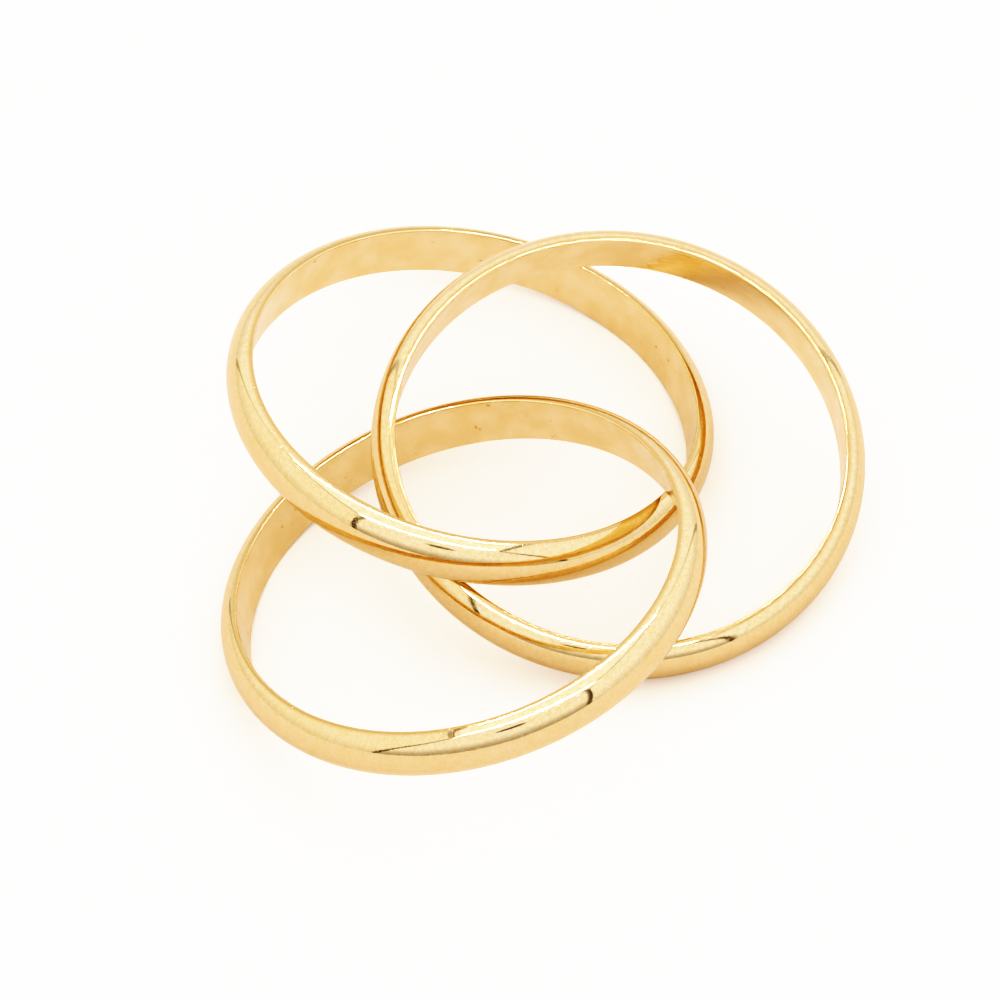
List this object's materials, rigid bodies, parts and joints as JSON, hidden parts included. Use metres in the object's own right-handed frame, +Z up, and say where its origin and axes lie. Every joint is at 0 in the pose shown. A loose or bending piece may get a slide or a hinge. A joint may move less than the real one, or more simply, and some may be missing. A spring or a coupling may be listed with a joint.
{
  "type": "rolling ring",
  "caption": "Finger ring of plain half-round gold bands, each linked through the others, lying in a loose heap. Each band turns freely in its own plane.",
  "frame": {"origin": "on the surface the bands lie on, under the middle of the heap's box", "axes": "+Z up from the surface, +Y away from the viewer of the picture, +X to the viewer's right"},
  "size_m": [0.0258, 0.0294, 0.0074],
  "materials": {
    "gold": "polished yellow gold, satin inside the bore"
  },
  "bodies": {
    "right_band": {"right_band": "gold"},
    "back_band": {"back_band": "gold"},
    "front_band": {"front_band": "gold"}
  },
  "joints": [
    {"name": "back_band_turn", "type": "hinge", "parent": "right_band", "child": "back_band", "pos_m": [-0.00298, 0.00478, 0.00331], "axis": [0.188, 0.1514, 0.9704], "continuous": true},
    {"name": "front_band_turn", "type": "hinge", "parent": "right_band", "child": "front_band", "pos_m": [-0.00324, -0.00475, 0.0037], "axis": [-0.2557, 0.1252, 0.9586], "continuous": true}
  ]
}
